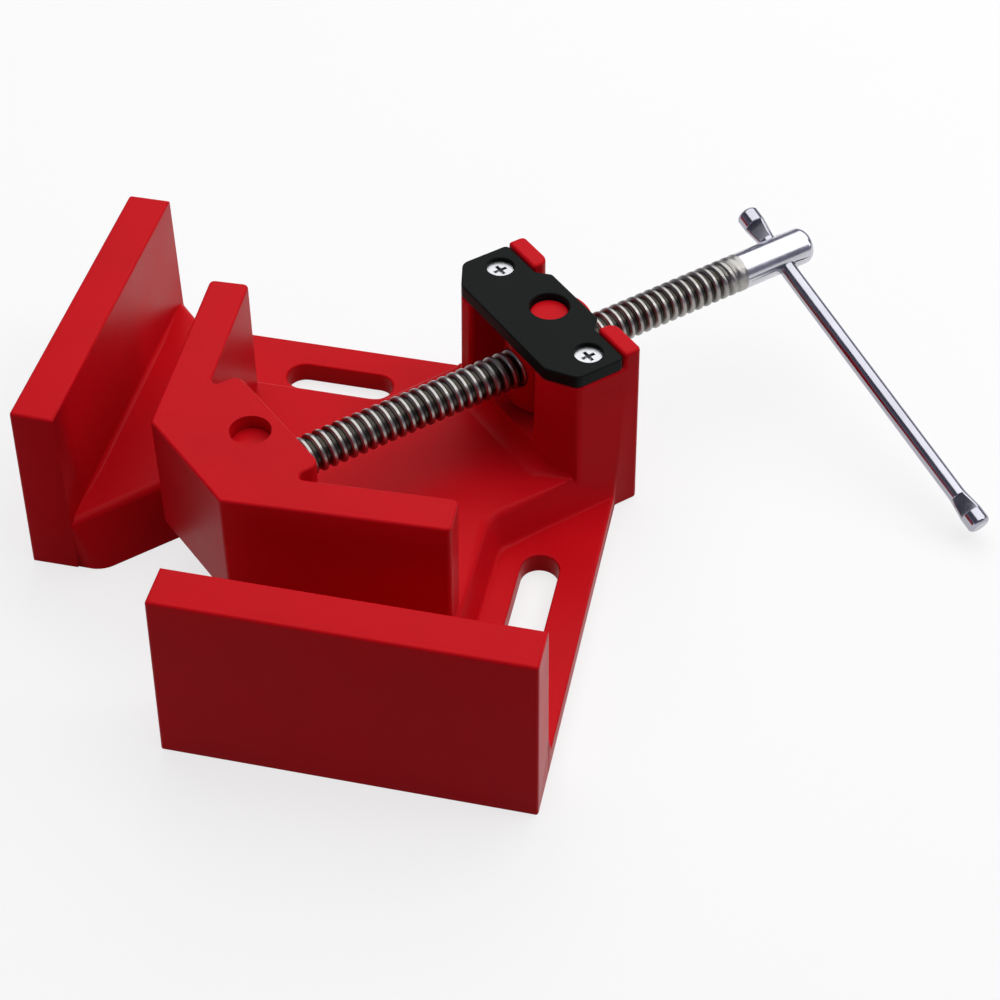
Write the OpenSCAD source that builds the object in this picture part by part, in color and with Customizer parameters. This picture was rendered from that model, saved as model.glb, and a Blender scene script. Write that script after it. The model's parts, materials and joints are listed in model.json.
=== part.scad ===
// Right-angle corner clamp: two fixed jaws on one casting, a screw in a swivelling
// nut and a floating chevron jaw. Millimetres, +Z up.
// The origin is the work corner on the bench: the planes of both fixed jaw faces
// (x = 0 and y = 0) cross there. The screw runs along the diagonal x = y.

/* [Fixed jaws] */
// Length of each fixed jaw
jaw_length = 95; // [80:1:110]
// Distance from the work corner to the near end of each fixed jaw
jaw_start = 43; // [38:1:48]
// Thickness of the fixed jaws at the top
jaw_thickness = 12; // [9:0.5:16]
// Height of the fixed jaws above the bench
jaw_height = 54; // [50:0.5:60]
// Casting draft: growth of a jaw's outer face and ends from top to foot
jaw_draft = 1.2; // [0.4:0.1:2]

/* [Table and flanges] */
// Height of the table that the work stands on
table_z = 17; // [14:0.5:20]
// Thickness of the table's top over the hollow underside
table_skin = 6; // [4:0.5:8]
// Thickness of the side walls and ribs under the table
rib = 5; // [3:0.5:7]
// Thickness of the two bolting flanges
flange_t = 6.5; // [5:0.5:9]
// Width of a flange, from the top of the table's wall to its free edge
flange_w = 30.5; // [26:0.5:34]
// Width of the table's neck that carries the post, at the top
neck_w = 56.5; // [54:0.5:62]
// Growth of the table's sloping walls from its top down to the bench
table_taper = 5.5; // [3:0.5:7]
// Corner radius of the table's foot beside a jaw's near end
wing_r = 9; // [4:0.5:11]
// Radius of the inner corner between the table's edge and its neck
neck_corner_r = 8; // [3:1:12]
// Distance from the work corner to the end of the open corner channel, along the diagonal
channel_end = 76; // [68:1:84]
// Corner radius at the end of the open channel
channel_r = 8; // [3:1:14]
// Width of a bolting slot
slot_w = 10.5; // [6:0.5:12]
// Length of a bolting slot, end to end
slot_l = 32; // [24:1:40]
// Distance from a flange's free edge to the middle of its slot
slot_edge = 14.8; // [13:0.1:16]
// Distance from the work corner to the slot's middle, along the flange
slot_mid = 52; // [46:1:56]

/* [Post] */
// Distance of the nut's axis from each fixed jaw's face
nut_xy = 115.5; // [112:0.5:119]
// Width of the post across the screw
post_w = 57; // [54:0.5:60]
// Reach of the post in front of the nut's axis, towards the work
post_front = 15.5; // [14:0.5:18]
// Reach of the post behind the nut's axis
post_rear = 10.5; // [9.5:0.5:13]
// Gap between the two columns
post_gap = 31; // [29:0.5:32]
// Front corner cut of a column, along the screw
post_cut_x = 5.5; // [3:0.5:7]
// Front corner cut of a column, across the screw
post_cut_y = 8; // [5:0.5:8.5]
// Casting draft: growth of the columns' outer and rear faces from top to foot
post_draft = 1.1; // [0.4:0.1:2]
// Radius of the columns' front corners
post_r = 3; // [1.5:0.5:4]
// Height of the sill between the columns
sill_z = 24; // [22:0.5:26]
// Set-back of the sill from the columns' rear face
sill_back = 1.5; // [1:0.5:3]
// Radius of the lugs' inner corners
lug_r = 3; // [1.5:0.5:4]
// Depth of the two lugs that stand behind the cover plate
lug_x = 5.3; // [3.5:0.1:6]
// Rise of the lugs above the cover plate
lug_rise = 0.9; // [0.5:0.1:2]

/* [Cover plate] */
// Thickness of the cover plate
plate_t = 4; // [3.5:0.1:5]
// Overhang of the plate's middle tongue behind the lugs' front
plate_tongue = 3.4; // [1:0.1:4]
// Width of the plate's middle tongue
plate_tongue_w = 22; // [16:1:26]
// Distance of each cover screw from the nut's axis, across the screw
screw_y = 21.5; // [20.5:0.1:22.5]
// Distance of the cover screws in front of the nut's axis
screw_x = 2; // [0:0.5:3]
// Shank diameter of the cover screws
screw_d = 4; // [3:0.5:5]
// Length of a cover screw
screw_l = 14; // [10:1:18]
// Depth of a screw head's top below the plate's top
screw_sink = 1.3; // [0.8:0.1:1.6]

/* [Swivel nut] */
// Diameter of the nut's barrel
nut_d = 24; // [22:0.5:26]
// Diameter of the nut's two trunnions
trunnion_d = 10.8; // [9:0.1:12]
// Length of the lower trunnion
trunnion_l = 8; // [5:0.5:10]
// Depth of the upper trunnion's top below the plate's top
trunnion_sink = 2.2; // [1.6:0.1:2.6]

/* [Spindle] */
// Outside diameter of the thread
spindle_d = 11; // [9:0.5:12]
// Length of the thread, from the shoulder at the nose to the head
thread_l = 153; // [145:1:165]
// Diameter of the smooth head
head_d = 10.8; // [10:0.1:13]
// Length of the smooth head
head_l = 25; // [21:0.5:32]
// Edge radius of the head's domed end
head_r = 2.4; // [1.5:0.1:4.5]
// Distance from the head's end to the middle of its cross hole
bar_hole_end = 10.3; // [9:0.1:12]
// Diameter of the nose that turns in the pivot barrel
nose_d = 6.5; // [5:0.5:7]
// Length of the nose's end past the retaining ring
nose_tip = 1.8; // [1.2:0.1:2.5]
// Thickness of the retaining ring
clip_t = 0.8; // [0.6:0.1:1.2]
// Outside diameter of the retaining ring
clip_d = 10; // [9:0.5:11]
// Depth of the ring's groove in the nose
clip_groove = 0.7; // [0.4:0.1:1]

/* [Tommy bar] */
// Diameter of the bar
bar_d = 5; // [4:0.1:6]
// Length of the bar, end to end
bar_l = 117; // [100:1:130]
// Length of the pressed stretch at each end
pinch_l = 11; // [9:0.5:14]
// Length of the round tip past the two pressed flats
tip_l = 4.6; // [3:0.1:6]
// Width of the bar across a pressed end
pinch_w = 6.6; // [6.2:0.1:7.5]
// Thickness of the bar between two pressed flats
pinch_t = 3.6; // [2.8:0.1:4]
// Turn of the flats about the bar, in degrees
pinch_turn = 35; // [-90:5:90]

/* [Moving jaw] */
// Distance from the pivot's axis to each clamping face
face_offset = 26; // [24:0.5:28]
// Distance from the pivot's axis to the free end of each arm
arm_reach = 57; // [48:1:64]
// Thickness of the arms
arm_t = 11; // [8:0.5:12]
// Distance from the pivot's axis to the cut corner face
nose_face = 19.3; // [18:0.1:21]
// Distance from the pivot's axis to the back of the web
web_back = 8.4; // [7.5:0.1:9.5]
// Width of the web across the screw
web_w = 41; // [36:1:46]
// Corner radius of the web
web_r = 3; // [1:0.5:5]
// Diameter of the pivot barrel
pivot_d = 10.8; // [9.5:0.1:11.5]
// Depth of the barrel's top below the jaw's top
pivot_sink = 4; // [1:0.1:5]
// Floor left under the barrel's bore
pivot_floor = 4; // [3:0.5:6]
// Depth of the flats that the spindle's shoulder and ring run on
pivot_flat = 0.6; // [0.4:0.1:1]
// Wall in front of the ring's pocket
pocket_wall = 3.3; // [2.5:0.1:5]
// Width of the ring's pocket
pocket_w = 16; // [15:0.5:20]

/* [Pose shown] */
// Distance from the nut's axis to the pivot's axis
reach = 92; // [70:1:115]
// Swing of the moving jaw from square, in degrees
jaw_swing = 2.3; // [-4:0.1:4]
// Turn of the bar from upright, in degrees
bar_turn = 108; // [0:1:360]

/* [Clearances] */
// Radial clearance of turning and sliding fits
running = 0.05; // [0.02:0.01:0.1]
// Clearance between flat faces that move past each other
slip = 0.3; // [0.2:0.05:0.4]
// Radial room around the spindle in the moving jaw, which lets the jaw swing
swing_room = 1.2; // [1:0.1:1.8]

/* [Hidden] */
$fn = 64;

red = [0.78, 0.09, 0.09];
black = [0.13, 0.14, 0.13];
zinc = [0.80, 0.81, 0.82];
steel = [0.62, 0.61, 0.58];
chrome = [0.86, 0.87, 0.88];

over = 1;                                   // run-out of cuts past a face
film = 0.02;                                // thickness of the slices that a hull joins
root2 = sqrt(2);
jaw_end = jaw_start + jaw_length;
flange_edge = jaw_end + jaw_draft;          // flush with the feet of the jaws' ends
table_edge = flange_edge - flange_w;
neck_side = neck_w / root2;                 // x - y along the top of the neck's side
cut_top = table_z + over;
rim_in = 0.5;                               // from a jaw's end back to the rim of the step
column_top = jaw_height - plate_t;
spindle_z = (sill_z + column_top) / 2;
post_half = post_w / 2;
lug_front = post_rear - lug_x;
plate_gap = slip;                           // between the plate and the lugs
corner_r = 1.5;                             // cast corners of the post and the jaws
corner_steps = 5;

bore_r = trunnion_d / 2 + running;
spindle_bore_r = spindle_d / 2 + running;
screw_head_d = 1.9 * screw_d;
screw_cone = (screw_head_d - screw_d) / 2;  // 90 degree countersink
screw_head_z = jaw_height - screw_sink;

pivot_half = pivot_d / 2 - pivot_flat;      // pivot axis to a flat
shoulder = pivot_half + slip;               // pivot axis to the spindle's shoulder
clip_x = -pivot_half - slip;                // rear face of the retaining ring
clip_slot = nose_d - 2 * clip_groove;       // diameter of the ring's groove
thread_end = -reach + shoulder + thread_l;
head_end = thread_end + head_l;
bar_x = head_end - bar_hole_end;
bar_start = -(head_d / 2 + slip + pinch_l); // the pinch stops against the head

jaw_z = table_z + slip;
pivot_z = jaw_z + pivot_floor;
pocket_top = spindle_z + clip_d / 2 + 2 * slip;
passage_r = spindle_d / 2 + swing_room;

// Outlines with rounded corners: each point is [x, y, radius].
function unit(v) = v / norm(v);
function heading(v) = atan2(v[1], v[0]);
function turn(a) = a > 180 ? a - 360 : a < -180 ? a + 360 : a;
function corner(a, b, c, r) =
    let (p = unit(a - b), q = unit(c - b), half = acos(p * q) / 2,
         centre = b + unit(p + q) * r / sin(half), run = r / tan(half),
         from = heading(b + p * run - centre), sweep = turn(heading(b + q * run - centre) - from))
    [for (i = [0 : corner_steps]) let (t = from + sweep * i / corner_steps) centre + r * [cos(t), sin(t)]];
function xy(p) = [p[0], p[1]];
function rounded(pts) =
    [for (i = [0 : len(pts) - 1])
        let (a = xy(pts[(i + len(pts) - 1) % len(pts)]), b = xy(pts[i]), c = xy(pts[(i + 1) % len(pts)]))
        each (pts[i][2] == 0 ? [b] : corner(a, b, c, pts[i][2]))];
function flip(pts) = [for (i = [len(pts) - 1 : -1 : 0]) [pts[i][1], pts[i][0], pts[i][2]]];

// Half of the table top's outline, from the front jaw to the diagonal.
table_side = [
    [jaw_start, 0, 0], [jaw_end, 0, 0], [table_edge, jaw_end - table_edge, neck_corner_r],
    [table_edge, table_edge - neck_side, neck_corner_r], [flange_edge, flange_edge - neck_side, 0],
    [flange_edge, flange_edge - (post_half - over) * root2, 0]];
channel_far = (channel_end * root2 + jaw_start) / 2;
channel_near = channel_far - jaw_start;
table_outline = rounded(concat(
    table_side, flip(table_side),
    [[channel_near, channel_far, channel_r], [channel_far, channel_near, channel_r]]));

// The block that the table is cut from, down to the bench; its walls get their slope from the cuts.
wing_end = jaw_start - jaw_draft * (1 - table_z / jaw_height);
block_half = [
    [wing_end, -jaw_thickness / 2, 0], [jaw_end, -jaw_thickness / 2, 0], [jaw_end, 0, 0],
    [flange_edge, 0, 0], [flange_edge, flange_edge - (post_half - over) * root2, 0]];
block_outline = rounded(concat(block_half, flip(block_half), [[wing_end, wing_end, 0]]));
// Outward step of the table's walls at a height.
function grow(z) = table_taper * (1 - z / table_z);
function channel_outline(step) =
    let (half = jaw_start / root2 - step, end = channel_end - step)
    rounded([[0, -half, 0], [end, -half, channel_r], [end, half, channel_r], [0, half, 0]]);
function wing_outline(step, r) =
    let (bury = -jaw_thickness / 2, end = wing_end - film, side = jaw_start - (step + film) * root2)
    rounded([[end, bury, 0], [channel_far, bury, 0], [channel_far, channel_far - side, 0],
             [end, end - side, r]]);
function recess_outline(step) =
    let (x = table_edge + step, side = neck_side + step * root2, run = jaw_end - rim_in + step * root2,
         edge = flange_edge + over)
    rounded([[edge, edge - side, 0], [x, x - side, neck_corner_r], [x, run - x, neck_corner_r],
             [edge, run - edge, 0]]);

// Front corners of a column and of the plate on it, in the post's frame.
post_side_corner = [-post_front + post_cut_x, post_half];
post_front_corner = [-post_front, post_half - post_cut_y, post_r];
function column_outline(step) = rounded([
    [-post_front, post_gap / 2, corner_r], [post_rear + step, post_gap / 2, lug_r],
    [post_rear + step, post_half + step, corner_r],
    [post_side_corner[0] + step * post_cut_x / post_cut_y, post_half + step, post_r], post_front_corner]);

plate_side = [
    [lug_front - plate_gap, post_half, corner_r], [post_side_corner[0], post_side_corner[1], post_r],
    post_front_corner];
plate_tail = lug_front - plate_gap + plate_tongue;
plate_step = [[plate_tail, plate_tongue_w / 2, corner_r],
              [lug_front - plate_gap, plate_tongue_w / 2 + plate_tongue, 0]];
function across(pts) = [for (i = [len(pts) - 1 : -1 : 0]) [pts[i][0], -pts[i][1], pts[i][2]]];
plate_half = concat(plate_step, plate_side);
plate_outline = rounded(concat(plate_half, across(plate_half)));

arm_inner = face_offset - arm_t;
cut_u = face_offset - nose_face * root2;
web_far = (web_back + web_w / 2) / root2;
web_near = (web_back - web_w / 2) / root2;
jaw_half = [
    [cut_u, -face_offset, corner_r], [arm_reach, -face_offset, corner_r], [arm_reach, -arm_inner, corner_r],
    [web_w / root2 - arm_inner, -arm_inner, corner_r], [web_far, web_near, web_r]];
jaw_outline = rounded(concat(jaw_half, flip(jaw_half)));

module mirror_diagonal() { children(); mirror([1, -1, 0]) children(); }
// Post frame: x along the screw, away from the work; z is the nut's axis.
module post_frame() { translate([nut_xy, nut_xy, 0]) rotate(45) children(); }
// Spindle frame: x along the screw from the nut's axis, z along the bar.
module spindle_frame() { post_frame() translate([0, 0, spindle_z]) rotate([bar_turn, 0, 0]) children(); }
// Pivot frame: z is the pivot's axis, x along the screw.
module pivot_frame() { post_frame() translate([-reach, 0, 0]) children(); }
module rod(d, from, to) { translate([from, 0, 0]) rotate([0, 90, 0]) cylinder(d = d, h = to - from); }

// One fixed jaw: a section with draft outside, trimmed to ends with draft.
module fixed_jaw() {
    intersection() {
        translate([jaw_start - jaw_draft - over, 0, 0]) rotate([90, 0, 90])
            linear_extrude(jaw_length + 2 * (jaw_draft + over))
                polygon([[0, 0], [0, jaw_height], [-jaw_thickness, jaw_height],
                         [-jaw_thickness - jaw_draft, 0]]);
        translate([0, over, 0]) rotate([90, 0, 0]) linear_extrude(jaw_thickness + jaw_draft + 2 * over)
            polygon([[jaw_start - jaw_draft, 0], [jaw_start, jaw_height],
                     [jaw_end, jaw_height], [jaw_end + jaw_draft, 0]]);
    }
}

module slice(z, points) { translate([0, 0, z]) linear_extrude(film) polygon(points); }
// Open corner between the jaws, and the step down to a flange: both widen towards the top.
module channel() { rotate(45) hull() for (z = [-over, cut_top]) slice(z, channel_outline(grow(z))); }
module recess() { hull() for (z = [flange_t, cut_top]) slice(z, recess_outline(grow(z))); }

// What the rounding takes off the table's foot beside a jaw's near end; it fades out at the top.
module wing_corner() {
    difference() {
        translate([wing_end - over, 0, -over]) cube([wing_r + over, 2 * table_taper, table_z + over]);
        hull() {
            slice(-over, wing_outline(grow(-over), wing_r));
            slice(table_z, wing_outline(grow(table_z), 0));
        }
    }
}

module table() {
    difference() {
        linear_extrude(table_z) polygon(block_outline);
        channel();
        mirror_diagonal() {
            recess();
            wing_corner();
        }
    }
}

module flange_slot() {
    half = (slot_l - slot_w) / 2;
    translate([flange_edge - slot_edge, slot_mid, -over]) {
        for (y = [-half, half]) translate([0, y, 0]) cylinder(d = slot_w, h = flange_t + 2 * over);
        translate([-slot_w / 2, -half, 0]) cube([slot_w, 2 * half, flange_t + 2 * over]);
    }
}

module column() {
    difference() {
        hull() {
            slice(0, column_outline(post_draft));
            slice(jaw_height + lug_rise - film, column_outline(0));
        }
        translate([lug_front - post_w, 0, column_top]) cube([post_w, post_w, jaw_height]);
    }
}

module sill() {
    half = post_gap / 2 + corner_r + over;
    translate([-post_front, -half, 0]) cube([post_front + post_rear - sill_back, 2 * half, sill_z]);
}

module post() {
    column();
    mirror([0, 1, 0]) column();
    sill();
}

// Hollows under the table: its outline set in by a wall, less the post's foot and the ribs.
module underside() {
    translate([0, 0, -over]) linear_extrude(table_z - table_skin + over) difference() {
        offset(delta = -rib) polygon(table_outline);
        translate([nut_xy, nut_xy]) rotate(45) {
            translate([-post_front - rib, -post_half - rib]) square([post_w, post_w + 2 * rib]);
            translate([-2 * nut_xy, -rib / 2]) square([2 * nut_xy, rib]);
        }
        mirror_diagonal() translate([channel_far, 0]) square([rib, nut_xy]);
    }
}

module base_casting() {
    color(red) difference() {
        union() {
            mirror_diagonal() fixed_jaw();
            table();
            post_frame() post();
        }
        underside();
        mirror_diagonal() flange_slot();
        post_frame() {
            translate([0, 0, sill_z - trunnion_l - slip])
                cylinder(r = bore_r, h = trunnion_l + slip + over);
            for (side = [-1, 1]) translate([-screw_x, side * screw_y, screw_head_z - screw_l - slip])
                cylinder(d = screw_d + 2 * running, h = screw_l);
        }
    }
}

module cover_plate() {
    color(black) post_frame() difference() {
        translate([0, 0, column_top]) linear_extrude(plate_t) polygon(plate_outline);
        translate([0, 0, column_top - over]) cylinder(r = bore_r, h = plate_t + 2 * over);
        for (side = [-1, 1]) translate([-screw_x, side * screw_y, 0]) {
            translate([0, 0, column_top - over])
                cylinder(d = screw_d + 2 * running, h = plate_t + 2 * over);
            translate([0, 0, screw_head_z - screw_cone])
                cylinder(d1 = screw_d + 2 * running, d2 = screw_head_d + 2 * running, h = screw_cone);
            translate([0, 0, screw_head_z]) cylinder(d = screw_head_d + 2 * running, h = screw_sink + over);
        }
    }
}

// Countersunk screw with a cross recess; the shank's thread is left plain.
module cover_screw(side) {
    cross_w = screw_d / 4;
    cross_l = screw_d;
    color(zinc) post_frame() translate([-screw_x, side * screw_y, screw_head_z]) difference() {
        union() {
            translate([0, 0, -screw_cone]) cylinder(d1 = screw_d, d2 = screw_head_d, h = screw_cone);
            translate([0, 0, -screw_l]) cylinder(d = screw_d, h = screw_l - screw_cone / 2);
        }
        for (a = [0, 90]) rotate(a) cube([cross_l, cross_w, screw_cone], center = true);
    }
}
module cover_screw_left() { cover_screw(1); }
module cover_screw_right() { cover_screw(-1); }

module swivel_nut() {
    foot = sill_z + slip;
    top = column_top - slip;
    color(red) post_frame() difference() {
        union() {
            translate([0, 0, foot]) cylinder(d = nut_d, h = top - foot);
            translate([0, 0, sill_z - trunnion_l])
                cylinder(d = trunnion_d, h = jaw_height - trunnion_sink - sill_z + trunnion_l);
        }
        translate([0, 0, spindle_z]) rod(2 * spindle_bore_r, -nut_d, nut_d);
    }
}

// Screw blank: thread at its outside diameter, domed head, and nose with a ring groove.
module spindle() {
    bevel = spindle_d / 10;
    nose_end = clip_x - clip_t - 2 * slip - nose_tip;
    color(steel) spindle_frame() difference() {
        union() {
            translate([-reach, 0, 0]) {
                rod(spindle_d, shoulder + bevel, shoulder + thread_l);
                translate([shoulder, 0, 0]) rotate([0, 90, 0])
                    cylinder(d1 = spindle_d - 2 * bevel, d2 = spindle_d, h = bevel);
                rod(nose_d, clip_x, shoulder + over);
                rod(clip_slot, nose_end, clip_x + over);
                rod(nose_d, nose_end, nose_end + nose_tip);
            }
            rod(head_d, thread_end - over, head_end - head_r);
            translate([head_end - head_r, 0, 0]) rotate([0, 90, 0]) rotate_extrude() intersection() {
                union() {
                    translate([0, -over]) square([head_d / 2, over]);
                    square([head_d / 2 - head_r, head_r]);
                    translate([head_d / 2 - head_r, 0]) circle(head_r);
                }
                translate([0, -over]) square([head_d, head_r + over]);
            }
        }
        translate([bar_x, 0, 0]) cylinder(d = bar_d + 2 * running, h = 2 * head_d, center = true);
    }
}

// Open ring in the nose's groove.
module nose_clip() {
    ring_x = -reach + clip_x - slip - clip_t;
    color(zinc) spindle_frame() translate([ring_x, 0, 0]) rotate([0, 90, 0]) difference() {
        cylinder(d = clip_d, h = clip_t);
        translate([0, 0, -over]) cylinder(d = clip_slot + 2 * running, h = clip_t + 2 * over);
        translate([0, -clip_slot / 3, -over]) cube([clip_d, clip_slot / 1.5, clip_t + 2 * over]);
    }
}

// Turned bar, spread wider at both ends where two flats are pressed in.
module tommy_bar() {
    flat_l = pinch_l - tip_l - slip;
    bevel = (pinch_w - bar_d) / 2;
    end = [[0, 0], [bar_d / 2, 0], [pinch_w / 2, bevel], [pinch_w / 2, tip_l], [bar_d / 2, pinch_l]];
    other_end = [for (i = [len(end) - 1 : -1 : 0]) [end[i][0], bar_l - end[i][1]]];
    color(chrome) spindle_frame() translate([bar_x, 0, bar_start]) difference() {
        rotate_extrude() polygon(concat(end, other_end));
        for (z = [tip_l + flat_l / 2, bar_l - tip_l - flat_l / 2], side = [-1, 1])
            rotate(pinch_turn) translate([0, side * (pinch_t + pinch_w) / 2, z + slip / 2])
                cube([2 * pinch_w, pinch_w, flat_l - slip], center = true);
    }
}

module moving_jaw() {
    pocket_x = -nose_face + pocket_wall;
    color(red) pivot_frame() rotate(jaw_swing) difference() {
        translate([0, 0, jaw_z]) rotate(-45) linear_extrude(jaw_height - jaw_z) polygon(jaw_outline);
        translate([0, 0, pivot_z]) cylinder(d = pivot_d + 2 * running, h = jaw_height);
        translate([0, 0, spindle_z]) rod(2 * passage_r, pocket_x, web_back + over);
        translate([pocket_x, -pocket_w / 2, jaw_z - over])
            cube([-pocket_x - pivot_half, pocket_w, pocket_top - jaw_z + over]);
    }
}

// Barrel in the jaw's bore, cross-bored for the nose, with a flat on both sides.
module pivot_barrel() {
    flat_h = 2 * passage_r;
    color(red) pivot_frame() difference() {
        translate([0, 0, pivot_z]) cylinder(d = pivot_d, h = jaw_height - pivot_sink - pivot_z);
        translate([0, 0, spindle_z]) {
            rod(nose_d + 2 * running, -pivot_d, pivot_d);
            for (side = [-1, 1]) translate([side * (pivot_half + pivot_d / 2), 0, 0])
                cube([pivot_d, 2 * pivot_d, flat_h], center = true);
        }
    }
}

base_casting();
cover_plate();
cover_screw_left();
cover_screw_right();
swivel_nut();
spindle();
nose_clip();
tommy_bar();
moving_jaw();
pivot_barrel();
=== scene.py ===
# %% [markdown]
# # Right-angle corner clamp
# A corner clamp holds two boards at a right angle: they lie against two fixed jaws, and a screw
# presses a floating jaw into the corner between them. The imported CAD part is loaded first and
# stays as it is. Every visual piece below is made in the same frame, in metres: the origin is the
# work corner on the bench, +X runs along the front jaw, +Y along the left jaw and +Z up.

# %% Load the frame
import json
import math

import bmesh
import bpy
from mathutils import Matrix, Quaternion, Vector


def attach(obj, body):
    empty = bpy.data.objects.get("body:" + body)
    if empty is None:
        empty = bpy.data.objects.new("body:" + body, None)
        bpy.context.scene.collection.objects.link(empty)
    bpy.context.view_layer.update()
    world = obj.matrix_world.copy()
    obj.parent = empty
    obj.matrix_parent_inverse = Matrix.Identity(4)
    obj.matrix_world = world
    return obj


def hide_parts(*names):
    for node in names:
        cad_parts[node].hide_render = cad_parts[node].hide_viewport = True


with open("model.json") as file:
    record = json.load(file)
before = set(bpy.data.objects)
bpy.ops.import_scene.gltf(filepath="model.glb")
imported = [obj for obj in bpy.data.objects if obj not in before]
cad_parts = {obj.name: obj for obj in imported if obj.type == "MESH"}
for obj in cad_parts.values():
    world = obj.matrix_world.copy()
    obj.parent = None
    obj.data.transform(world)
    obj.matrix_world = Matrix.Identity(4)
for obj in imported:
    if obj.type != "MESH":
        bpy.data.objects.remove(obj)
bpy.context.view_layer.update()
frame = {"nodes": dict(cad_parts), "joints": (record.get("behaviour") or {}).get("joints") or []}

MM = 0.001
print("nodes:", sorted(frame["nodes"]))

# %% [markdown]
# ## Lines of the mechanism
# The screw, the bar and the pivots lie at odd angles. Their places could be typed in again, but
# they would be wrong as soon as the part changes. The joints already say where the nut turns,
# where the jaw turns, along which line the screw travels and along which line the bar slides.

# %% Read the lines from the joints
UP = Vector((0, 0, 1))
joints = {joint["name"]: joint for joint in frame["joints"]}
nut_centre = Vector(joints["nut_swivel"]["pos_m"])
pivot_centre = Vector(joints["jaw_swivel"]["pos_m"])
screw_line = -Vector(joints["spindle_turn"]["axis"]).normalized()
bar_line = Vector(joints["handle_slide"]["axis"]).normalized()
across_line = UP.cross(screw_line)
screw_frame = Matrix((screw_line, bar_line.cross(screw_line), bar_line)).transposed().to_4x4()
screw_frame.translation = nut_centre
head_end = max((v.co - nut_centre).dot(screw_line) for v in frame["nodes"]["spindle"].data.vertices)
print("screw's head ends", round(head_end / MM, 1), "mm behind the nut's axis")

# %% [markdown]
# ## Shader tools
# A procedural material is a graph of nodes. Adding each node by hand takes many lines, so a few
# helpers add a node and fill its inputs by name. The recipes below then stay short.

# %% Add nodes and fill their inputs
def plug_in(tree, plug, value):
    """Links another node's output to an input, or sets the input to a plain value."""
    if isinstance(value, bpy.types.NodeSocket):
        tree.links.new(value, plug)
    else:
        plug.default_value = value


def add(tree, kind, **inputs):
    """Adds a node. An input is a value or another node's output; _ stands for a space."""
    node = tree.nodes.new(kind)
    for name, value in inputs.items():
        plug_in(tree, node.inputs[name.replace("_", " ")], value)
    return node


def calculate(tree, operation, a, b):
    """One arithmetic step on two values."""
    node = tree.nodes.new("ShaderNodeMath")
    node.operation = operation
    for plug, value in zip(node.inputs, (a, b)):
        plug_in(tree, plug, value)
    return node.outputs[0]


# %% Noise, ranges and mixed colours
MIX_FACTOR, MIX_FIRST, MIX_SECOND, MIXED = 0, 6, 7, 2  # the Mix node's sockets for colours


def noise(tree, vector, scale, detail=2.0, roughness=0.5):
    """Noise from 0 to 1 with features of about 1 / scale metres."""
    node = add(tree, "ShaderNodeTexNoise", Vector=vector, Scale=scale, Detail=detail, Roughness=roughness)
    return node.outputs[0]


def remap(tree, value, low, high, start=0.25, end=0.75):
    """Spreads a value between start and end over low to high."""
    node = add(tree, "ShaderNodeMapRange", Value=value, From_Min=start, From_Max=end, To_Min=low, To_Max=high)
    return node.outputs[0]


def blend_colours(tree, factor, first, second):
    """Mixes two colours by a factor."""
    node = tree.nodes.new("ShaderNodeMix")
    node.data_type = "RGBA"
    for index, value in ((MIX_FACTOR, factor), (MIX_FIRST, first), (MIX_SECOND, second)):
        plug_in(tree, node.inputs[index], value)
    return node.outputs[MIXED]


# %% Empty node groups
COLOUR, VALUE, VECTOR = "NodeSocketColor", "NodeSocketFloat", "NodeSocketVector"
SKIN_OUTPUTS = [("Colour", COLOUR), ("Roughness", VALUE), ("Normal", VECTOR)]


def new_group(name, inputs):
    """A shader group with these inputs, (name, type, default), and the outputs of a skin."""
    tree = bpy.data.node_groups.new(name, "ShaderNodeTree")
    for label, kind, default in inputs:
        plug = tree.interface.new_socket(label, in_out="INPUT", socket_type=kind)
        if default is not None:
            plug.default_value = default
    for label, kind in SKIN_OUTPUTS:
        tree.interface.new_socket(label, in_out="OUTPUT", socket_type=kind)
    return tree, tree.nodes.new("NodeGroupInput").outputs, tree.nodes.new("NodeGroupOutput").inputs


def close_group(tree, made, *values):
    """Plugs the finished values into the group's outputs."""
    for plug, value in zip(made, values):
        tree.links.new(value, plug)
    print("group:", tree.name, "with", len(tree.nodes), "nodes")


# %% [markdown]
# ## Skin of sprayed enamel
# The castings are sprayed. Slow waves of the casting still show through the paint, and the spray
# leaves fine dimples on it. A picture could show both, but every piece would need unwrapping.
# Noise in Object coordinates fits all of them, and one group serves all the painted materials.

# %% Group for enamel
MOTTLE, WAVES, PEEL = 35.0, 90.0, 1100.0  # features in a metre
WAVE_HEIGHT, WAVE_STRENGTH = 0.25 * MM, 0.35
PEEL_HEIGHT = 0.04 * MM

enamel_skin, given, made = new_group(
    "enamel_skin", [("Colour", COLOUR, (1, 1, 1, 1)), ("Roughness", VALUE, 0.3), ("Peel", VALUE, 0.1)])
place = add(enamel_skin, "ShaderNodeTexCoord").outputs["Object"]
mottle = noise(enamel_skin, place, MOTTLE, 3.0)
tone = remap(enamel_skin, mottle, 0.93, 1.06)
tint = add(enamel_skin, "ShaderNodeHueSaturation", Value=tone, Color=given["Colour"])
gloss = calculate(enamel_skin, "ADD", given["Roughness"], remap(enamel_skin, mottle, -0.05, 0.05))
waves = add(enamel_skin, "ShaderNodeBump", Strength=WAVE_STRENGTH, Distance=WAVE_HEIGHT,
            Height=noise(enamel_skin, place, WAVES))
peel = add(enamel_skin, "ShaderNodeBump", Strength=given["Peel"], Distance=PEEL_HEIGHT,
           Height=noise(enamel_skin, place, PEEL, 1.5), Normal=waves.outputs[0])
close_group(enamel_skin, made, tint.outputs[0], gloss, peel.outputs[0])

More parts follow.
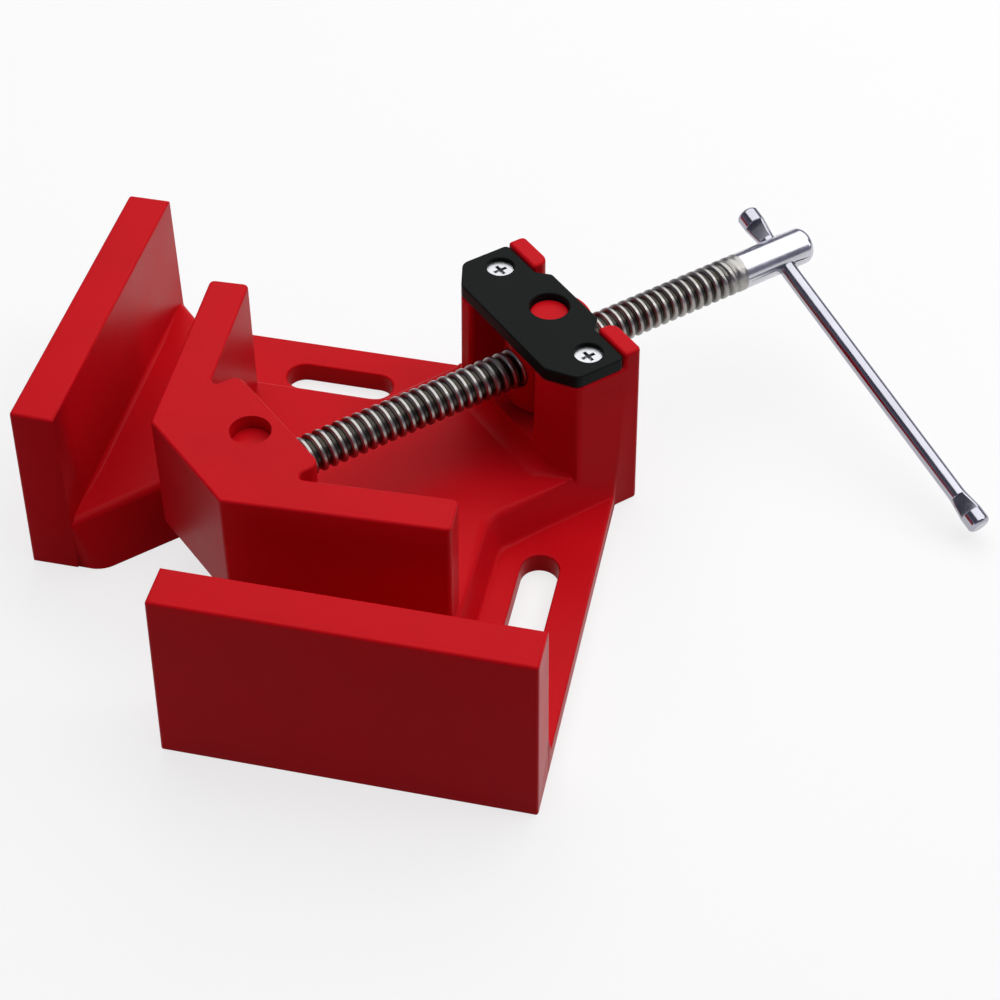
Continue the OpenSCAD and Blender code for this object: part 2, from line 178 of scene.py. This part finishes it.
# %% [markdown]
# ## Skin of worked metal
# Turned, rolled or plated steel has fine lines from the tool and a faint haze from handling. The
# lines run one way, so this group takes coordinates that each material has stretched along its
# own piece. The haze uses plain Object coordinates.

# %% Group for metal
HAZE = 120.0  # features in a metre
LINE_HEIGHT = 0.02 * MM

metal_skin, given, made = new_group(
    "metal_skin", [("Vector", VECTOR, None), ("Colour", COLOUR, (1, 1, 1, 1)), ("Roughness", VALUE, 0.3),
                   ("Lines", VALUE, 0.1)])
lines = noise(metal_skin, given["Vector"], 1.0, 4.0, 0.6)
haze = noise(metal_skin, add(metal_skin, "ShaderNodeTexCoord").outputs["Object"], HAZE, 3.0)
tone = remap(metal_skin, haze, 0.9, 1.08)
tint = add(metal_skin, "ShaderNodeHueSaturation", Value=tone, Color=given["Colour"])
drag = calculate(metal_skin, "MULTIPLY", remap(metal_skin, lines, -0.12, 0.12), given["Lines"])
dull = calculate(metal_skin, "ADD", drag, remap(metal_skin, haze, -0.03, 0.05))
gloss = calculate(metal_skin, "ADD", given["Roughness"], dull)
ridges = add(metal_skin, "ShaderNodeBump", Strength=given["Lines"], Distance=LINE_HEIGHT, Height=lines)
close_group(metal_skin, made, tint.outputs[0], gloss, ridges.outputs[0])

# %% [markdown]
# ## Painted pieces
# The same red paint is on the base, the floating jaw, the nut and the pivot barrel; the cover
# plate is satin black. Each slot of the record gets a material of its own, so that a user of the
# part can repaint one piece. A low specular level keeps the paint from turning grey where it is
# seen at a flat angle.

# %% A shader with a skin
def shader(name):
    """A new material, its node tree and its Principled shader."""
    material = bpy.data.materials.new(name)
    material.use_nodes = True
    tree = material.node_tree
    return material, tree, tree.nodes["Principled BSDF"]


def use_group(tree, group, surface, **inputs):
    """Adds a skin group and plugs its outputs into the shader."""
    node = tree.nodes.new("ShaderNodeGroup")
    node.node_tree = group
    for name, value in inputs.items():
        plug_in(tree, node.inputs[name], value)
    for label, plug in (("Colour", "Base Color"), ("Roughness", "Roughness"), ("Normal", "Normal")):
        tree.links.new(node.outputs[label], surface.inputs[plug])


# %% Materials of the painted pieces
RED = (0.56, 0.004, 0.009)
BLACK = (0.006, 0.008, 0.007)
PAINT_SPECULAR = 0.05


def enamel(name, colour, roughness, peel):
    """Sprayed enamel; peel is the strength of its dimples."""
    material, tree, surface = shader(name)
    use_group(tree, enamel_skin, surface, Colour=(*colour, 1), Roughness=roughness, Peel=peel)
    surface.inputs["Specular IOR Level"].default_value = PAINT_SPECULAR
    return material


materials = {
    "red_enamel": enamel("red_enamel", RED, 0.36, 0.25),
    "red_jaw": enamel("red_jaw", RED, 0.36, 0.25),
    "red_nut": enamel("red_nut", RED, 0.34, 0.2),
    "red_pivot": enamel("red_pivot", RED, 0.36, 0.2),
    "black_satin": enamel("black_satin", BLACK, 0.4, 0.5),
}
painted = set(materials)
print("painted:", sorted(painted))

# %% [markdown]
# ## Metal pieces
# The bar and the screw's head are plated, the clip is dark spring steel and the screws are zinc
# plated. Their colours are plain. The thread is bright on the crests and dark in the roots, from a
# brown oil film together with painted shade; a picture could not follow that round the helix, so the
# mesh carries a value from root to crest. The screws get painted shade below the flat of the head,
# where the cross recess is.

# %% Bare and plated metal
SPRING, BAR, HEAD = (0.2, 0.2, 0.21), (0.42, 0.42, 0.47), (0.58, 0.58, 0.62)


def stretched(tree, scales, line=None):
    """Object coordinates scaled along X, Y and Z, after X is turned to run along a line."""
    place = add(tree, "ShaderNodeTexCoord").outputs["Object"]
    if line is not None:
        turn = add(tree, "ShaderNodeVectorRotate", Vector=place)
        turn.rotation_type = "EULER_XYZ"
        turn.inputs["Rotation"].default_value = line.to_track_quat("X", "Z").inverted().to_euler()
        place = turn.outputs[0]
    return add(tree, "ShaderNodeMapping", Vector=place, Scale=scales).outputs[0]


def metal(name, colour, roughness, lines, scales, line=None):
    """Metal with fine lines; a colour is three numbers, or a function that makes it in the tree."""
    material, tree, surface = shader(name)
    shade = colour(tree) if callable(colour) else (*colour, 1)
    use_group(tree, metal_skin, surface, Vector=stretched(tree, scales, line), Colour=shade,
              Roughness=roughness, Lines=lines)
    surface.inputs["Metallic"].default_value = 1.0
    return material


materials["spring_steel"] = metal("spring_steel", SPRING, 0.35, 0.2, (800, 800, 800))
materials["bar_chrome"] = metal("bar_chrome", BAR, 0.16, 0.12, (1500, 90, 90), bar_line)
head_chrome = metal("head_chrome", HEAD, 0.18, 0.2, (1800, 90, 90), screw_line)
print("plain metal:", sorted(set(materials) - painted))

# %% Thread with oil and painted shade in its roots, zinc screws with painted shade in the recess
# The dark root colour stands for a brown oil film together with painted shade in the thread's roots.
ROOT_OIL_AND_SHADE, CREST = (0.05, 0.045, 0.038, 1), (0.36, 0.35, 0.33, 1)
# The darker zinc colour is painted shade down in the screws' cross recess; the two heights set where it fades
# in.
RECESS_SHADE, ZINC = (0.26, 0.26, 0.27, 1), (0.52, 0.53, 0.54, 1)
RECESS_DEEP, RECESS_LIP = 0.5 * MM, 0.1 * MM


def thread_colour(tree):
    """Bright crests, and roots darkened by a brown oil film together with painted shade, with an uneven edge.
    """
    crest = tree.nodes.new("ShaderNodeAttribute")
    crest.attribute_name = "crest"
    root_edge = noise(tree, stretched(tree, (300, 60, 60), screw_line), 1.0, 3.0)
    mask = calculate(tree, "ADD", crest.outputs["Fac"], remap(tree, root_edge, -0.18, 0.18))
    return blend_colours(tree, remap(tree, mask, 0.0, 1.0, 0.1, 0.95), ROOT_OIL_AND_SHADE, CREST)


def screw_colour(tree):
    """Zinc on the flat of the head, with painted shade down in the cross recess."""
    head_top = max(v.co.z for v in frame["nodes"]["cover_screw_left"].data.vertices)
    place = add(tree, "ShaderNodeTexCoord").outputs["Object"]
    height = add(tree, "ShaderNodeSeparateXYZ", Vector=place).outputs["Z"]
    flat = remap(tree, height, 0.0, 1.0, head_top - RECESS_DEEP, head_top - RECESS_LIP)
    return blend_colours(tree, flat, RECESS_SHADE, ZINC)


materials["thread_steel"] = metal("thread_steel", thread_colour, 0.32, 0.3, (2500, 120, 120), screw_line)
materials["zinc_screw"] = metal("zinc_screw", screw_colour, 0.34, 0.25, (900, 900, 200))
print("all slots:", sorted(materials))

# %% [markdown]
# ## Rounding the CAD pieces
# A cast or stamped piece has no sharp edge. Its edges could be rounded one after another, but
# large and small radii then spoil each other at the corners. Instead each edge carries its own
# radius as a bevel weight, and one live Bevel modifier rounds all of them together. The CAD mesh
# is made of triangles, so its flat areas are first joined into single faces.

# %% Copies with a radius on each edge
WELD = 0.002 * MM
FLAT = math.radians(0.3)
SHARP = math.radians(30)
WIDEST = 4.5 * MM  # the radius that a bevel weight of 1 stands for


def node_mesh(node, weld=WELD):
    """A copy of a CAD node's mesh with its flat areas joined."""
    bm = bmesh.new()
    bm.from_mesh(frame["nodes"][node].data)
    bmesh.ops.remove_doubles(bm, verts=bm.verts, dist=weld)
    bmesh.ops.dissolve_degenerate(bm, edges=bm.edges, dist=weld / 2)
    bmesh.ops.dissolve_limit(bm, angle_limit=FLAT, verts=bm.verts, edges=bm.edges)
    return bm


def weigh_edges(bm, radius_of):
    """Writes each sharp edge's radius as a bevel weight; an edge with no radius stays sharp."""
    weight = bm.edges.layers.float.new("bevel_weight_edge")
    for edge in bm.edges:
        if len(edge.link_faces) == 2:
            turn = edge.calc_face_angle_signed(0)
            if abs(turn) > SHARP:
                edge[weight] = radius_of(edge, turn < 0) / WIDEST
                edge.smooth = edge[weight] > 0
    return bm


def even(radius):
    """The same radius on all outer edges; hollow edges stay sharp."""
    return lambda edge, hollow: 0.0 if hollow else radius


# %% From bmesh to a piece of the part
ARC_SEGMENTS = 4


def round_edges(obj):
    """Adds the live Bevel modifier that reads the bevel weights."""
    bevel = obj.modifiers.new("rounding", "BEVEL")
    bevel.limit_method, bevel.offset_type = "WEIGHT", "OFFSET"
    bevel.width, bevel.segments, bevel.use_clamp_overlap = WIDEST, ARC_SEGMENTS, False


def piece(name, bm, body, node, slot_name, material=None):
    """Turns a bmesh into a smooth-shaded piece that rides on a body and stands for a node."""
    rounded = "bevel_weight_edge" in bm.edges.layers.float
    for face in bm.faces:
        face.smooth = True
    mesh = bpy.data.meshes.new(name)
    bm.to_mesh(mesh)
    bm.free()
    mesh.materials.append(material or materials[slot_name])
    obj = bpy.data.objects.new(name, mesh)
    bpy.context.scene.collection.objects.link(obj)
    if rounded:
        round_edges(obj)
    else:
        mesh.set_sharp_from_angle(angle=SHARP)
    obj.modifiers.new("even_shading", "WEIGHTED_NORMAL").keep_sharp = True
    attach(obj, body)
    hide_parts(node)
    print(name, len(mesh.polygons), "faces")


# %% [markdown]
# ## Base casting
# The base is one sand casting: two jaws, a raised table, two low flanges and a post. Its table
# has a soft rim, the jaws have tighter edges, and drilled bores stay sharp. One radius for all
# would look like moulded plastic, so a rule picks the radius from where an edge lies. The heights
# come from the frame: the floating jaw slides just above the table, and the lowest broad face
# that looks up is the top of the flanges.

# %% Heights of the table and the flanges
SLIDE_GAP = 0.3 * MM
BROAD = 500 * MM * MM
TABLE_TOP = min(v.co.z for v in frame["nodes"]["moving_jaw"].data.vertices) - SLIDE_GAP
levels = {}
for face in frame["nodes"]["base_casting"].data.polygons:
    if face.normal.z > 0.999:
        level = round(face.center.z, 5)
        levels[level] = levels.get(level, 0) + face.area
FLANGE_TOP = min(level for level, area in levels.items() if area > BROAD)
print("flange at", FLANGE_TOP / MM, "mm, table at", round(TABLE_TOP / MM, 2), "mm")

# %% Where an edge lies
NEAR = 0.06 * MM
POST_REACH = 17.0 * MM
TRUNNION_RIM, SCREW_RIM = 8.0 * MM, 5.0 * MM


def middle(edge):
    """The middle of an edge."""
    return (edge.verts[0].co + edge.verts[1].co) / 2


def at_height(edge, z):
    """True if both ends of an edge lie at a height."""
    return all(abs(vert.co.z - z) < NEAR for vert in edge.verts)


def at_post(place):
    """True within the depth of the post."""
    return abs((place - nut_centre).dot(screw_line)) < POST_REACH


def on_jaw_face(place):
    """True in the plane of a fixed jaw's inner face."""
    return min(abs(place.x), abs(place.y)) < NEAR


def centre_of(node):
    """The middle of a node's box."""
    places = [v.co for v in frame["nodes"][node].data.vertices]
    return Vector([(min(p[i] for p in places) + max(p[i] for p in places)) / 2 for i in range(3)])


bores = [(nut_centre, TRUNNION_RIM)]
bores += [(centre_of("cover_screw_" + side), SCREW_RIM) for side in ("left", "right")]
print("bores at", [[round(c / MM, 1) for c in centre.xy] for centre, reach in bores], "mm")

# %% Radius of each edge
TABLE_RIM_R, FLANGE_RIM_R, BENCH_R = 2.0 * MM, 0.6 * MM, 0.4 * MM
FLANGE_FOOT_R, CAST_R = 1.2 * MM, 0.9 * MM


def base_radius(edge, hollow):
    """The radius of an edge; bores, tall jaw edges and hidden hollows stay sharp."""
    place = middle(edge)
    if any((place - centre).xy.length < reach for centre, reach in bores):
        return 0.0
    if hollow:
        return FLANGE_FOOT_R if at_height(edge, FLANGE_TOP) else 0.0
    for height, radius in ((TABLE_TOP, TABLE_RIM_R), (FLANGE_TOP, FLANGE_RIM_R), (0, BENCH_R)):
        if at_height(edge, height):
            return radius
    tall = abs(edge.verts[0].co.z - edge.verts[1].co.z) > 2 * TABLE_TOP
    return 0.0 if tall and on_jaw_face(place) or place.z < FLANGE_TOP else CAST_R


# %% Make the base
WING = 53.0 * MM  # a cut here keeps the shading of the long jaw walls even

bm = node_mesh("base_casting", NEAR)
feet = [edge for edge in bm.edges
        if at_height(edge, TABLE_TOP) and edge.calc_face_angle_signed(0) < -SHARP]
post_foot = {vert.co.copy().freeze() for edge in feet if at_post(middle(edge)) for vert in edge.verts}
post_foot = sorted(post_foot, key=lambda p: p.dot(across_line))
jaw_feet = [[vert.co.copy() for vert in edge.verts] for edge in feet if on_jaw_face(middle(edge))]
for axis in (Vector((1, 0, 0)), Vector((0, 1, 0))):
    bmesh.ops.bisect_plane(bm, geom=bm.verts[:] + bm.edges[:] + bm.faces[:], dist=NEAR,
                           plane_co=axis * WING, plane_no=axis)
piece("base", weigh_edges(bm, base_radius), "base", "base_casting", "red_enamel")
print("the post's foot has", len(post_foot), "corners, and there are", len(jaw_feet), "jaw feet")

# %% [markdown]
# ## Floating jaw
# The floating jaw is a second casting, a chevron that swings a little on the screw's nose, so that
# it finds the right angle by itself. It is rounded like the base, with one radius for all its cast
# edges. The bore for the pivot barrel is drilled, so its rims stay sharp.

# %% Make the floating jaw
BORE_RIM = 6.0 * MM
JAW_R = 0.8 * MM


def jaw_radius(edge, hollow):
    """Rims of the bore stay sharp; the cast edges are soft."""
    in_bore = (middle(edge) - pivot_centre).xy.length < BORE_RIM
    return 0.0 if hollow or in_bore else JAW_R


piece("floating_jaw", weigh_edges(node_mesh("moving_jaw"), jaw_radius), "jaw", "moving_jaw", "red_jaw")

# %% [markdown]
# ## Fillets at the feet
# Where the post and the jaws meet the table, molten metal needs a soft corner, so the casting has
# fillets: a wide one at the post, narrow ones at the jaws. A bevel this wide would tear the faces
# at the ends of the feet. The fillets are swept instead: at each place along a foot, a quarter
# circle joins the table and the wall, and its radius shrinks towards both ends.

# %% Sweep a fillet
ARC_STEPS = 6
SINK = 0.03 * MM
TAPER_FROM = 0.6  # share of the way to an end where the radius starts to shrink


def evenly(path, step):
    """Points along a path, no further apart than a step."""
    points = [path[0]]
    for start, end in zip(path, path[1:]):
        parts = math.ceil((end - start).length / step)
        points += [start.lerp(end, (i + 1) / parts) for i in range(parts)]
    return points


def arc_row(bm, here, out, radius):
    """A hollow quarter circle from the table up to the wall."""
    row = []
    for i in range(ARC_STEPS + 1):
        turn = math.pi / 2 * i / ARC_STEPS
        level = UP * (radius * (1 - math.cos(turn)) - SINK)
        row.append(bm.verts.new(here + out * (radius * (1 - math.sin(turn)) - SINK) + level))
    return row


def foot_strip(path, side, widest, narrowest):
    """A hollow strip along a foot, on the side that the wall faces."""
    bm = bmesh.new()
    rows = []
    for before, here, after in zip([path[0]] + path, path, path[1:] + [path[-1]]):
        out = (after - before).normalized().cross(UP)
        out *= -1 if out.dot(side) < 0 else 1
        share = abs(2 * len(rows) / (len(path) - 1) - 1)
        taper = max(0.0, (share - TAPER_FROM) / (1 - TAPER_FROM))
        rows.append(arc_row(bm, here, out, widest + (narrowest - widest) * taper))
    for row, following in zip(rows, rows[1:]):
        for i in range(ARC_STEPS):
            bm.faces.new((row[i], following[i], following[i + 1], row[i + 1]))
    bm.normal_update()
    bmesh.ops.reverse_faces(bm, faces=[face for face in bm.faces if face.normal.z < 0])
    return bm


# %% Make the fillets
FOOT_STEP = 2.0 * MM
POST_FOOT_R, POST_FOOT_END_R = 4.5 * MM, 0.8 * MM
JAW_FOOT_R, JAW_FOOT_END_R = 1.5 * MM, 0.1 * MM

bm = foot_strip(evenly(post_foot, FOOT_STEP), -screw_line, POST_FOOT_R, POST_FOOT_END_R)
piece("post_foot", bm, "base", "base_casting", "red_enamel")
for start, end in jaw_feet:
    inset = (end - start).normalized() * TABLE_RIM_R
    path = evenly([start + inset, end - inset], FOOT_STEP)
    name = "front_jaw_foot" if abs(start.y) < NEAR else "left_jaw_foot"
    bm = foot_strip(path, screw_line, JAW_FOOT_R, JAW_FOOT_END_R)
    piece(name, bm, "base", "base_casting", "red_enamel")

# %% [markdown]
# ## Turned and stamped pieces
# The nut and the pivot barrel are turned from bar, and the black plate is stamped. They could be
# modelled again from cylinders and a grid, but the CAD solids already have every bore. A small
# even radius on the outer edges is all they lack: it catches a thin line of light.

# %% Make the nut, the barrel, the plate and its screws
NUT_R, BARREL_R, PLATE_R, SCREW_R = 0.6 * MM, 0.4 * MM, 0.45 * MM, 0.06 * MM

piece("nut", weigh_edges(node_mesh("swivel_nut"), even(NUT_R)), "nut", "swivel_nut", "red_nut")
piece("barrel", weigh_edges(node_mesh("pivot_barrel"), even(BARREL_R)), "pivot", "pivot_barrel", "red_pivot")
piece("plate", weigh_edges(node_mesh("cover_plate"), even(PLATE_R)), "base", "cover_plate", "black_satin")
for side in ("left", "right"):
    node = "cover_screw_" + side
    piece("screw_" + side, weigh_edges(node_mesh(node), even(SCREW_R)), "base", node, "zinc_screw")

# %% [markdown]
# ## Screw thread
# The screw has a rolled trapezoidal thread. Rings with a bump map would look right from afar, but
# the outline would show no helix. Here one pitch of the profile is spun round the screw's axis
# with a small step along it, so that each turn meets the next one. The ends are cut square, and
# the depth fades out at the head as the rolling tool lifts off.

# %% Profile of the thread
PITCH = 3.0 * MM
CREST_R, ROOT_R = 5.5 * MM, 4.55 * MM
CREST_FLAT, FLANK, CREST_EDGE = 1.15 * MM, 0.5 * MM, 0.22 * MM
HEAD_LENGTH, SHOULDER = 25.0 * MM, 5.1 * MM

thread_from = (pivot_centre - nut_centre).dot(screw_line) + SHOULDER
thread_to = head_end - HEAD_LENGTH


def thread_profile():
    """One pitch of the thread: (place along the screw, radius)."""
    rise = (PITCH - CREST_FLAT - 2 * FLANK) / 2
    crest_from, crest_to = rise + FLANK, rise + FLANK + CREST_FLAT
    return [(0, ROOT_R), (rise, ROOT_R), (crest_from - CREST_EDGE / 2, CREST_R - CREST_EDGE),
            (crest_from + CREST_EDGE, CREST_R), (crest_to - CREST_EDGE, CREST_R),
            (crest_to + CREST_EDGE / 2, CREST_R - CREST_EDGE), (PITCH - rise, ROOT_R), (PITCH, ROOT_R)]


print("thread runs over", round((thread_to - thread_from) / MM, 1), "mm")

# %% Spin the thread
TURN_STEPS = 40
RUN_OUT = 11.0 * MM


def spun_thread():
    """A helix along X that starts a pitch early and ends late."""
    bm = bmesh.new()
    turns = math.ceil((thread_to - thread_from) / PITCH) + 2
    start = thread_from - PITCH
    verts = [bm.verts.new((start + along, 0, radius)) for along, radius in thread_profile()]
    edges = [bm.edges.new(pair) for pair in zip(verts, verts[1:])]
    bmesh.ops.spin(bm, geom=verts + edges, cent=(0, 0, 0), axis=(1, 0, 0), dvec=(PITCH / TURN_STEPS, 0, 0),
                   angle=2 * math.pi * turns, steps=turns * TURN_STEPS, use_merge=False, use_duplicate=False)
    bmesh.ops.remove_doubles(bm, verts=bm.verts, dist=WELD)
    return bm


def cut_square(bm):
    """Cuts both ends of the helix square."""
    for place, clear in ((thread_from, "clear_inner"), (thread_to, "clear_outer")):
        bmesh.ops.bisect_plane(bm, geom=bm.verts[:] + bm.edges[:] + bm.faces[:], plane_co=(place, 0, 0),
                               plane_no=(1, 0, 0), **{clear: True})


def radius_at(vert):
    """A point's distance from the X axis."""
    return Vector((0, vert.co.y, vert.co.z)).length


def fade_out(bm):
    """Fills the thread's depth up towards the head."""
    for vert in bm.verts:
        depth = min(1.0, max(0.0, (thread_to - vert.co.x) / RUN_OUT))
        factor = (CREST_R - (CREST_R - radius_at(vert)) * depth) / radius_at(vert)
        vert.co.y, vert.co.z = vert.co.y * factor, vert.co.z * factor


# %% Make the thread
bm = spun_thread()
cut_square(bm)
fade_out(bm)
bmesh.ops.holes_fill(bm, edges=[edge for edge in bm.edges if edge.is_boundary], sides=0)
bmesh.ops.recalc_face_normals(bm, faces=bm.faces)
crest_layer = bm.verts.layers.float.new("crest")
for vert in bm.verts:
    vert[crest_layer] = (radius_at(vert) - ROOT_R) / (CREST_R - ROOT_R)
bm.transform(screw_frame)
piece("thread", bm, "spindle", "spindle", "thread_steel")

# %% [markdown]
# ## Head, bar and clip
# The screw ends in a plated head with a cross hole for the sliding bar, and in a nose that a
# spring clip holds. The CAD solids have these shapes, so they are copied and rounded. Only the
# plain stretch that the helical thread stands for is taken out of the spindle. The clip is hidden
# in the jaw, so its CAD mesh stays and only gets its material.

# %% Make the head, the bar and the clip
HEAD_R, BAR_R = 0.35 * MM, 0.3 * MM


def on_thread(face):
    """True for a face on the plain stretch between the shoulder and the head."""
    along = (face.calc_center_median() - nut_centre).dot(screw_line)
    return thread_from - WELD < along < thread_to - WELD


bm = node_mesh("spindle")
bmesh.ops.delete(bm, geom=[face for face in bm.faces if on_thread(face)], context="FACES")
piece("screw_head", weigh_edges(bm, even(HEAD_R)), "spindle", "spindle", "bar_chrome", head_chrome)
piece("bar", weigh_edges(node_mesh("tommy_bar"), even(BAR_R)), "handle", "tommy_bar", "bar_chrome")
clip = frame["nodes"]["nose_clip"]
clip.data.materials.clear()
clip.data.materials.append(materials["spring_steel"])

# %% [markdown]
# ## Floor
# A product picture stands on white paper. More light would make the paper white, but would bleach
# the paint too. The paper is grey instead and glows only for the camera and for mirrors, so it
# looks white, keeps the shadow and throws little light back on the object.

# %% Make the floor
FLOOR_SIZE = 6.0
PAPER, WHITE = (0.25, 0.25, 0.25, 1), (1, 1, 1, 1)
PAPER_GLOW, PAPER_ROUGHNESS, PAPER_SPECULAR = 0.72, 0.9, 0.1


def floor_material():
    """Matt paper that the camera and mirrors see lifted to white."""
    material, tree, surface = shader("paper")
    path = add(tree, "ShaderNodeLightPath").outputs
    seen = calculate(tree, "MAXIMUM", path["Is Camera Ray"], path["Is Glossy Ray"])
    seen = calculate(tree, "MAXIMUM", seen, path["Is Transmission Ray"])
    tree.links.new(calculate(tree, "MULTIPLY", seen, PAPER_GLOW), surface.inputs["Emission Strength"])
    surface.inputs["Emission Color"].default_value = WHITE
    surface.inputs["Base Color"].default_value = PAPER
    surface.inputs["Roughness"].default_value = PAPER_ROUGHNESS
    surface.inputs["Specular IOR Level"].default_value = PAPER_SPECULAR
    return material


bm = bmesh.new()
bmesh.ops.create_grid(bm, x_segments=1, y_segments=1, size=FLOOR_SIZE)
mesh = bpy.data.meshes.new("floor")
bm.to_mesh(mesh)
bm.free()
mesh.materials.append(floor_material())
floor = bpy.data.objects.new("floor", mesh)
bpy.context.scene.collection.objects.link(floor)
print("floor reaches", FLOOR_SIZE, "m each way")

# %% [markdown]
# ## Lights and sky
# The photograph has broad soft light from above and dim walls. One large area light above gives
# the bright tops and dark gaps, a low one in front lifts the outer faces, and a narrow one at the
# right draws the inner faces. The sky is dim, brighter at the horizon, and fills the shadows.

# %% Make the lights
LOOK_AT = Vector((112.1, 68.0, 25.0)) * MM


def softbox(name, place, width, height, watts):
    """A rectangular area light turned towards the object."""
    data = bpy.data.lights.new(name, "AREA")
    data.shape = "RECTANGLE"
    data.size, data.size_y, data.energy = width, height, watts
    lamp = bpy.data.objects.new(name, data)
    lamp.location = place
    lamp.rotation_mode = "QUATERNION"
    lamp.rotation_quaternion = (LOOK_AT - Vector(place)).to_track_quat("-Z", "Y")
    bpy.context.scene.collection.objects.link(lamp)
    print(name, watts, "W")


softbox("top_light", (0.2, 0.42, 0.9), 1.5, 1.5, 13.4)
softbox("front_light", (-0.55, -0.9, 0.22), 0.6, 0.3, 1.2)
softbox("right_light", (0.9, 0.2, 0.6), 0.25, 0.8, 1.5)

# %% Make the sky
HORIZON, ZENITH = (0.22, 0.215, 0.29, 1), (0.055, 0.055, 0.075, 1)
ZENITH_FROM = 0.9

world = bpy.data.worlds.new("studio")
world.use_nodes = True
bpy.context.scene.world = world
sky = world.node_tree
sky.nodes.clear()
way = add(sky, "ShaderNodeTexCoord").outputs["Generated"]
height = add(sky, "ShaderNodeSeparateXYZ", Vector=way).outputs["Z"]
dome = blend_colours(sky, remap(sky, height, 0.0, 1.0, 0.0, ZENITH_FROM), HORIZON, ZENITH)
background = add(sky, "ShaderNodeBackground", Color=dome, Strength=1.0)
sky.links.new(background.outputs[0], add(sky, "ShaderNodeOutputWorld").inputs["Surface"])
print("sky with", len(sky.nodes), "nodes")

# %% [markdown]
# ## Camera
# The camera stands where the photograph was taken from. Its direction, distance, roll and lens
# were fitted to the corners of the jaws in the photograph. The Standard view transform shows
# colours about as they are written.

# %% Make the camera
VIEW_AZIMUTH, VIEW_ELEVATION, VIEW_ROLL = (math.radians(turn) for turn in (11.56, 45.02, 0.66))
VIEW_DISTANCE = 571.0 * MM
LENS = 77.18

back = Vector((math.sin(VIEW_AZIMUTH) * math.cos(VIEW_ELEVATION),
               -math.cos(VIEW_AZIMUTH) * math.cos(VIEW_ELEVATION), math.sin(VIEW_ELEVATION)))
camera_data = bpy.data.cameras.new("camera")
camera_data.lens = LENS
camera_data.clip_start = 0.01
camera = bpy.data.objects.new("camera", camera_data)
camera.location = LOOK_AT + back * VIEW_DISTANCE
camera.rotation_mode = "QUATERNION"
camera.rotation_quaternion = (-back).to_track_quat("-Z", "Y") @ Quaternion((0, 0, 1), VIEW_ROLL)
bpy.context.scene.collection.objects.link(camera)
bpy.context.scene.camera = camera
bpy.context.scene.view_settings.view_transform = "Standard"
print("camera at", [round(c / MM) for c in camera.location], "mm")
